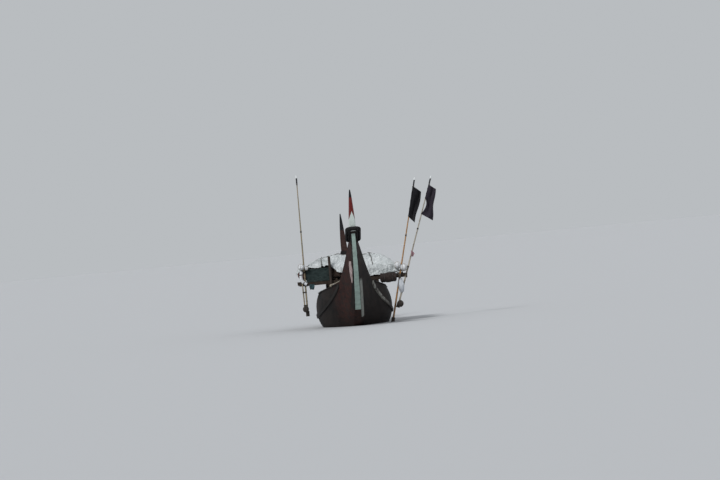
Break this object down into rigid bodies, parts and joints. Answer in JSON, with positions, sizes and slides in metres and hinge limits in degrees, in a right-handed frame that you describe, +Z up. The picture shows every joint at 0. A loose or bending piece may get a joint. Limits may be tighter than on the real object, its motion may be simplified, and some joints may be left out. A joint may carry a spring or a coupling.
{
  "type": "wooden fishing boat",
  "caption": "Planked wooden sea-fishing boat shaped like a crescent, with tall horned stem and stern, a platform of covered nets, flagged marker poles, propeller and tiller-steered rudder.",
  "frame": {"origin": "on the centreline at the waterline, amidships", "axes": "+Z up, the bow points to -Y, +X to port"},
  "size_m": [4.657, 11.6031, 5.547],
  "materials": {
    "tarred_planking": "tarred, satin",
    "pale_wale": "worn pale paint",
    "tarred_rail": "tarred",
    "painted_head": "painted, worn",
    "bare_wood": "weathered",
    "bamboo": "weathered",
    "engine_paint": "painted, oily",
    "steel": "dull",
    "bronze": "dull",
    "net": "knotted netting",
    "white_cloth": "coated cloth",
    "green_paint": "painted",
    "ring_rubber": "worn",
    "float_foam": "foam",
    "lamp": "moulded",
    "stone": "rough cast",
    "dark_cloth": "woven"
  },
  "bodies": {
    "hull": {"aft_deck": "bare_wood", "bitt_post": "bare_wood", "bow_head": "painted_head", "bow_ring": "ring_rubber", "bow_stem": "tarred_planking", "crossbeams": "bare_wood", "deck_boards": "bare_wood", "engine": "engine_paint", "engine_bearers": "bare_wood", "engine_hatch": "bare_wood", "float_bag": "float_foam", "fore_deck": "bare_wood", "frames": "bare_wood", "front_board": "green_paint", "inner_flag": "dark_cloth", "keel_plank": "tarred_planking", "marker_floats": "float_foam", "marker_lamps": "lamp", "marker_poles": "bamboo", "marker_weights": "stone", "net_heap": "net", "outer_flag": "dark_cloth", "platform_poles": "bamboo", "platform_posts": "bare_wood", "port_bilge_strake": "tarred_planking", "port_garboard_strake": "tarred_planking", "port_gunwale": "tarred_rail", "port_lower_bulwark": "tarred_planking", "port_net_roll": "net", "port_side_strake": "tarred_planking", "port_upper_bulwark": "tarred_planking", "port_wale": "pale_wale", "rudder_shoe": "steel", "rudder_trunk": "bare_wood", "skeg": "tarred_planking", "starboard_bilge_strake": "tarred_planking", "starboard_garboard_strake": "tarred_planking", "starboard_gunwale": "tarred_rail", "starboard_lower_bulwark": "tarred_planking", "starboard_net_roll": "net", "starboard_side_strake": "tarred_planking", "starboard_upper_bulwark": "tarred_planking", "starboard_wale": "pale_wale", "stern_head": "painted_head", "stern_post": "tarred_planking", "stern_tube": "steel", "tarpaulin": "white_cloth"},
    "propeller": {"propeller_shaft": "steel", "propeller": "bronze"},
    "rudder": {"rudder_stock": "steel", "rudder_blade": "tarred_planking", "tiller": "bare_wood"}
  },
  "joints": [
    {"name": "propeller_turn", "type": "hinge", "parent": "hull", "child": "propeller", "pos_m": [0, 2.64, -0.33], "axis": [0, -0.9659, 0.2588], "continuous": true},
    {"name": "rudder_turn", "type": "hinge", "parent": "hull", "child": "rudder", "pos_m": [0, 3.02, 0], "axis": [0, 0, 1], "range_deg": [-35, 35]}
  ]
}
